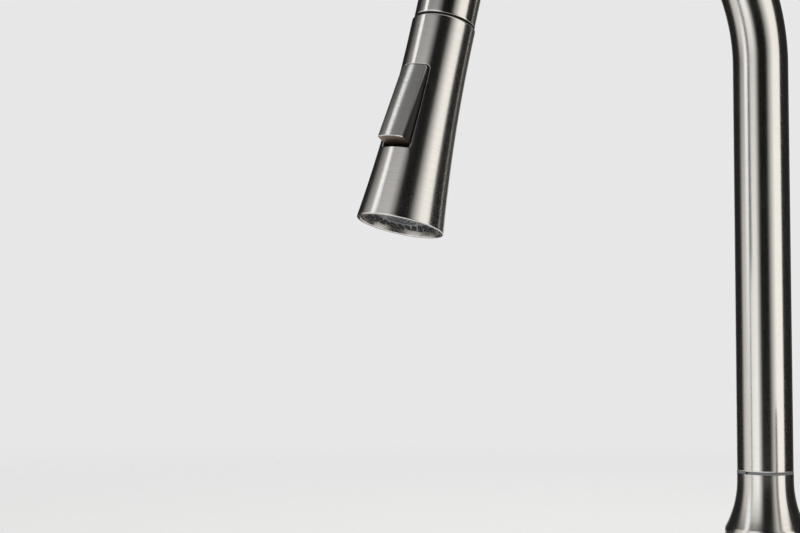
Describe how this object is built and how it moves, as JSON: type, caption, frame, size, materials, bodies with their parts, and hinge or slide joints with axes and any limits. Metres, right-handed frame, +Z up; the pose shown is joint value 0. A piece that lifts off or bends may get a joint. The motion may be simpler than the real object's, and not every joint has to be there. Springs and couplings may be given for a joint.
{
  "type": "pull-down kitchen faucet",
  "caption": "High-arc kitchen mixer with a swivel spout, a pull-down spray head with a rocker button, a side lever and a threaded shank for deck mounting.",
  "frame": {"origin": "middle of the base flange's underside, on the deck", "axes": "+Z up along the riser, spout reaching forward along -Y, handle on the right along +X"},
  "size_m": [0.0954, 0.257, 0.504],
  "materials": {
    "brushed_nickel": "brushed nickel plating",
    "plated_brass": "cast brass with brushed nickel plating",
    "raw_brass": "machined brass",
    "steel": "plain stainless steel",
    "black_plastic": "moulded",
    "grey_plastic": "moulded",
    "white_plastic": "moulded",
    "spray_face": "satin moulded face",
    "black_rubber": "moulded rubber",
    "ceramic": "polished ceramic",
    "hose_braid": "braided nylon over a rubber hose"
  },
  "bodies": {
    "base": {"base_flange": "brushed_nickel", "deck_gasket": "black_rubber", "valve_body": "plated_brass", "threaded_shank": "raw_brass", "flared_neck": "brushed_nickel", "swivel_ring": "grey_plastic", "swivel_post": "raw_brass", "swivel_o_rings": "black_rubber", "retaining_clip": "steel", "hose_lower": "hose_braid", "hose_coupling": "raw_brass", "cartridge_housing": "white_plastic", "cartridge_seals": "black_rubber", "fixed_disc": "ceramic", "cartridge_nut": "raw_brass", "dome_cover": "brushed_nickel"},
    "clamp": {"rubber_washer": "black_rubber", "steel_washer": "steel", "mounting_nut": "raw_brass", "jack_screws": "steel"},
    "spout": {"spout_tube": "brushed_nickel", "swivel_sleeve": "raw_brass", "dock_sleeve": "black_plastic", "hose_upper": "hose_braid", "hose_tail": "hose_braid"},
    "hose_end": {"docking_nut": "black_plastic", "hose_ferrule": "raw_brass"},
    "spray_head": {"head_shell": "brushed_nickel", "head_core": "black_plastic", "check_valve": "grey_plastic", "inlet_o_ring": "black_rubber", "spray_chamber": "black_plastic", "spray_plate": "spray_face", "spray_nozzles": "black_rubber", "aerator_housing": "grey_plastic", "aerator_screen": "steel", "rocker_pin": "steel"},
    "rocker": {"rocker_button": "brushed_nickel"},
    "diverter": {"diverter_spool": "grey_plastic", "spool_o_rings": "black_rubber"},
    "cartridge_rotor": {"cartridge_guide": "grey_plastic", "stem_pin": "steel"},
    "handle": {"cartridge_stem": "raw_brass", "handle_hub": "brushed_nickel", "handle_lever": "brushed_nickel", "hub_screw": "steel", "hub_plug": "grey_plastic"},
    "mixing_disc": {"moving_disc": "ceramic", "disc_carrier": "grey_plastic"}
  },
  "joints": [
    {"name": "spout_swivel", "type": "hinge", "parent": "base", "child": "spout", "pos_m": [0, 0, 0.1006], "axis": [0, 0, 1], "continuous": true},
    {"name": "head_pull", "type": "slide", "parent": "spout", "child": "hose_end", "axis": [0, -0.2334, -0.9724], "range_m": [0, 0.25], "deforming": ["hose_tail"]},
    {"name": "head_turn", "type": "hinge", "parent": "hose_end", "child": "spray_head", "pos_m": [0, -0.18878, 0.30944], "axis": [0, -0.2334, -0.9724], "continuous": true},
    {"name": "rocker_tilt", "type": "hinge", "parent": "spray_head", "child": "rocker", "pos_m": [0.003, -0.20515, 0.26817], "axis": [0.9026, 0.4186, -0.1005], "range_deg": [0, 10]},
    {"name": "diverter_slide", "type": "slide", "parent": "spray_head", "child": "diverter", "axis": [0, 0.2334, 0.9724], "range_m": [0, 0.001]},
    {"name": "handle_turn", "type": "hinge", "parent": "base", "child": "cartridge_rotor", "pos_m": [0.034, 0, 0.04], "axis": [1, 0, 0], "range_deg": [-45, 45]},
    {"name": "handle_lift", "type": "hinge", "parent": "cartridge_rotor", "child": "handle", "pos_m": [0.034, 0, 0.04], "axis": [0, 1, 0], "range_deg": [0, 20]},
    {"name": "disc_slide", "type": "slide", "parent": "cartridge_rotor", "child": "mixing_disc", "axis": [0, 0, 1], "range_m": [0, 0.0024]},
    {"name": "nut_travel", "type": "slide", "parent": "base", "child": "clamp", "axis": [0, 0, -1], "range_m": [-0.014, 0.075]}
  ],
  "couplings": [
    {"joint": "diverter_slide", "follows": "rocker_tilt", "m_per_rad": 0.00564},
    {"joint": "disc_slide", "follows": "handle_lift", "m_per_rad": 0.006859}
  ]
}
